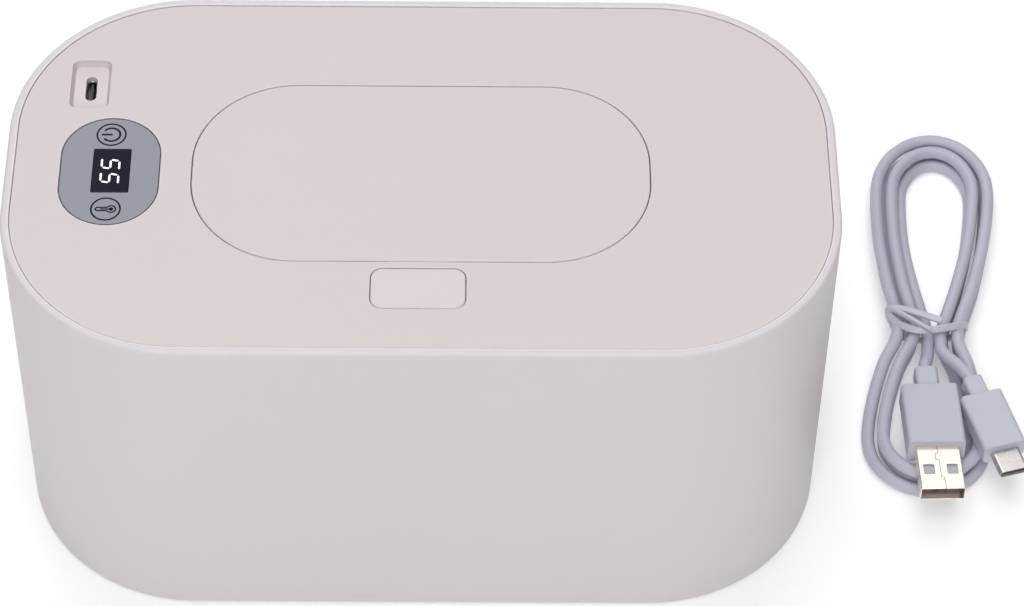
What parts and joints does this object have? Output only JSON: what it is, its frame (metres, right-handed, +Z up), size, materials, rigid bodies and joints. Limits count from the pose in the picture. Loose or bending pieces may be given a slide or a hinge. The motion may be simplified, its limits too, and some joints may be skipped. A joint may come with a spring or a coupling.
{
  "type": "baby wipe warmer",
  "caption": "Wipe warmer: tall rounded tub, lift-off heated lid with a sprung-catch flap, push button, display, touch fields and a tied charging cable.",
  "frame": {"origin": "middle of the tub's footprint on the surface that it stands on", "axes": "+Z up, +X to the right along the tub's length, -Y towards the front, where the push button is"},
  "size_m": [0.2672, 0.1617, 0.1045],
  "materials": {
    "shell_plastic": "moulded, fine satin",
    "inner_plastic": "moulded, satin",
    "panel_film": "printed film, satin",
    "display_window": "clear over black, polished",
    "black_plastic": "satin",
    "white_plastic": "satin",
    "circuit_board": "solder mask",
    "steel": "bright",
    "plug_metal": "plated, satin",
    "plate_aluminium": "anodised, satin",
    "heater_film": "amber film",
    "insulation_felt": "needled felt",
    "foot_rubber": "matt",
    "seal_silicone": "satin",
    "cable_jacket": "satin",
    "lead_red": "satin",
    "lead_white": "satin"
  },
  "bodies": {
    "base": {"tub": "shell_plastic", "rubber_foot_1": "foot_rubber", "rubber_foot_2": "foot_rubber", "rubber_foot_3": "foot_rubber", "rubber_foot_4": "foot_rubber", "cable_hank": "cable_jacket", "cable_tie": "cable_jacket", "usb_a_overmould": "cable_jacket", "usb_a_shell": "plug_metal", "usb_a_insulator": "white_plastic", "usb_c_overmould": "cable_jacket", "usb_c_shell": "plug_metal", "usb_c_insulator": "white_plastic", "cable_end_usb_a": "cable_jacket", "cable_end_usb_c": "cable_jacket"},
    "lid": {"lid_cover": "shell_plastic", "lid_inner_frame": "inner_plastic", "hinge_pin_left": "steel", "hinge_pin_right": "steel", "flap_spring": "steel", "flap_seal": "seal_silicone", "button_spring": "steel", "latch_spring": "steel", "heating_plate": "plate_aluminium", "heater_film": "heater_film", "insulation_pad": "insulation_felt", "temperature_sensor": "black_plastic", "thermal_fuse": "white_plastic", "lid_screw_1": "steel", "lid_screw_2": "steel", "lid_screw_3": "steel", "lid_screw_4": "steel", "board_screw_1": "steel", "board_screw_2": "steel", "control_board": "circuit_board", "control_chip": "black_plastic", "display_module": "black_plastic", "touch_pad_power": "black_plastic", "touch_pad_mode": "black_plastic", "control_panel_film": "panel_film", "display_window": "display_window", "socket_shell": "steel", "socket_tongue": "black_plastic", "socket_board": "circuit_board", "power_lead": "lead_red", "heater_lead": "lead_red", "sensor_lead": "lead_white"},
    "flap": {"flap": "shell_plastic"},
    "button": {"push_button": "shell_plastic"},
    "latch": {"latch_slider": "inner_plastic"}
  },
  "joints": [
    {"name": "lid_lift", "type": "slide", "parent": "base", "child": "lid", "axis": [0, 0, 1], "range_m": [0, 0.06]},
    {"name": "flap_hinge", "type": "hinge", "parent": "lid", "child": "flap", "pos_m": [-0.0003, 0.0339, 0.1002], "axis": [-1, 0, 0], "range_deg": [0, 95]},
    {"name": "button_press", "type": "slide", "parent": "lid", "child": "button", "axis": [0, 0, -1], "range_m": [0, 0.002], "stiffness_N_per_m": 400, "springref_m": -0.001, "deforming": ["button_spring"]},
    {"name": "latch_slide", "type": "slide", "parent": "lid", "child": "latch", "axis": [0, -1, 0], "range_m": [0, 0.002], "deforming": ["latch_spring"]}
  ],
  "couplings": [
    {"joint": "latch_slide", "follows": "button_press", "ratio": 1}
  ]
}
